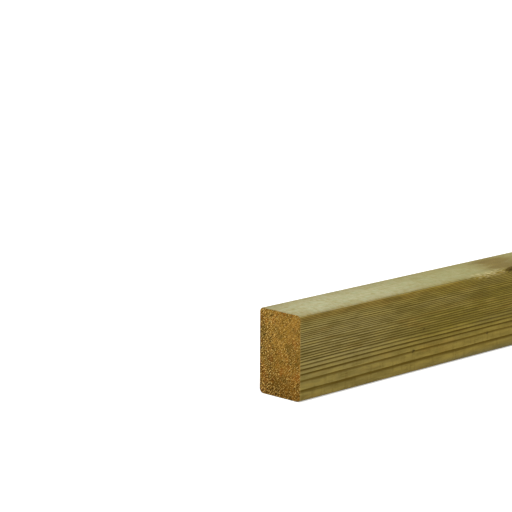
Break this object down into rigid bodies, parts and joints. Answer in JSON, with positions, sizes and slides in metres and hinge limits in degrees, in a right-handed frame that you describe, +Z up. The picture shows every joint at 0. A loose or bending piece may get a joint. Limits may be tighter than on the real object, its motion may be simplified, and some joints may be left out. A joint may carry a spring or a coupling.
{
  "type": "timber stud",
  "caption": "Planed, pressure-treated softwood stud of rectangular section with eased long edges and square-sawn ends, standing on its narrow face.",
  "frame": {"origin": "middle of the narrow face that the stud stands on, at its mid length", "axes": "+X along the stud's length, away from the sawn end nearest the viewer; +Y across its thickness, away from the wide face seen; +Z up the depth of the section"},
  "size_m": [2.4, 0.045, 0.07],
  "materials": {
    "treated_softwood": "matte"
  },
  "bodies": {
    "root": {"stud": "treated_softwood"}
  },
  "joints": []
}
